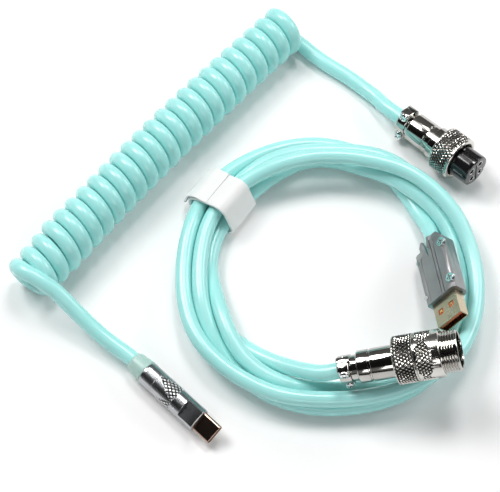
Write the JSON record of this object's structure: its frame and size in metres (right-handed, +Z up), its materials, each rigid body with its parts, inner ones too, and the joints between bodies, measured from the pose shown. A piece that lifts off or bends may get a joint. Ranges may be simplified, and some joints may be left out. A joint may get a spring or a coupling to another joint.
{
  "type": "coiled keyboard cable set",
  "caption": "Keyboard cable set: a coiled lead with a USB-C plug and a round screw plug, a straight lead with a round threaded socket and a USB-A plug, and a strap.",
  "frame": {"origin": "middle of the footprint on the table", "axes": "+Z up off the table, +X to the right, +Y away from the viewer; the set lies on the plane z = 0"},
  "size_m": [0.1894, 0.1906, 0.0379],
  "materials": {
    "cable_jacket": "soft glossy mint cable jacket",
    "wire": "insulated conductors",
    "nickel": "polished nickel plate",
    "gunmetal": "polished dark chrome",
    "zinc": "satin grey cast housing",
    "gold": "champagne gold plate",
    "contact_gold": "gold plated contacts",
    "black_plastic": "glossy black insulator",
    "orange_plastic": "orange insulator",
    "relief": "translucent soft collar",
    "board": "circuit board",
    "strap": "white hook and loop strap"
  },
  "bodies": {
    "coiled_lead": {"coil_cable": "cable_jacket"},
    "usb_c_plug": {"usb_c_strain_relief": "relief", "usb_c_sleeve": "gunmetal", "usb_c_crimp_ring": "contact_gold", "usb_c_shell": "gunmetal", "usb_c_insulator": "black_plastic", "usb_c_contacts": "contact_gold", "usb_c_circuit_board": "board", "usb_c_wires": "wire"},
    "round_plug": {"plug_backshell": "nickel", "plug_clamp_bar": "nickel", "plug_clamp_screws": "nickel", "plug_set_screw": "nickel", "plug_front_shell": "nickel", "plug_insulator": "black_plastic", "plug_contacts": "contact_gold", "plug_wires": "wire"},
    "nut_carrier": {"plug_snap_ring": "nickel"},
    "coupling_nut": {"plug_coupling_nut": "nickel"},
    "straight_lead": {"straight_cable": "cable_jacket", "strap_band": "strap"},
    "strap_end": {"strap_tab": "strap"},
    "round_socket": {"socket_backshell": "nickel", "socket_clamp_bar": "nickel", "socket_clamp_screws": "nickel", "socket_set_screw": "nickel", "socket_sleeve": "nickel", "socket_threaded_shell": "nickel", "socket_insulator": "black_plastic", "socket_pins": "contact_gold", "socket_wires": "wire"},
    "usb_a_plug": {"usb_a_housing_top": "zinc", "usb_a_housing_bottom": "zinc", "usb_a_screws": "nickel", "usb_a_shell": "gold", "usb_a_insulator": "orange_plastic", "usb_a_contacts": "contact_gold", "usb_a_circuit_board": "board", "usb_a_wires": "wire"}
  },
  "joints": [
    {"name": "usb_c_flex", "type": "hinge", "parent": "coiled_lead", "child": "usb_c_plug", "pos_m": [-0.04514, -0.06203, 0.00519], "axis": [0, 0, 1], "range_deg": [-30, 20], "deforming": ["coil_cable"]},
    {"name": "coil_stretch", "type": "slide", "parent": "coiled_lead", "child": "round_plug", "axis": [0.6505, 0.7595, 0], "range_m": [0, 0.3], "deforming": ["coil_cable"]},
    {"name": "nut_slide", "type": "slide", "parent": "round_plug", "child": "nut_carrier", "axis": [0.7141, -0.6922, 0.1045], "range_m": [-0.0025, 0]},
    {"name": "nut_spin", "type": "hinge", "parent": "nut_carrier", "child": "coupling_nut", "pos_m": [0.0811, 0.02665, 0.00985], "axis": [0.7141, -0.6922, 0.1045], "continuous": true},
    {"name": "straight_lead_lift", "type": "slide", "parent": "coiled_lead", "child": "straight_lead", "axis": [0, 0, 1], "range_m": [0, 0.12]},
    {"name": "socket_flex", "type": "hinge", "parent": "straight_lead", "child": "round_socket", "pos_m": [0.03162, -0.071, 0.01633], "axis": [0.0593, -0.9982, 0], "range_deg": [0, 30], "deforming": ["straight_cable"]},
    {"name": "usb_a_flex", "type": "hinge", "parent": "straight_lead", "child": "usb_a_plug", "pos_m": [0.07161, -0.01234, 0.00825], "axis": [-0.9925, -0.1224, 0], "range_deg": [0, 35], "deforming": ["straight_cable"]},
    {"name": "strap_peel", "type": "hinge", "parent": "straight_lead", "child": "strap_end", "pos_m": [-0.01331, 0.00782, 0.01504], "axis": [0.5842, 0.8116, 0], "range_deg": [0, 48]}
  ]
}
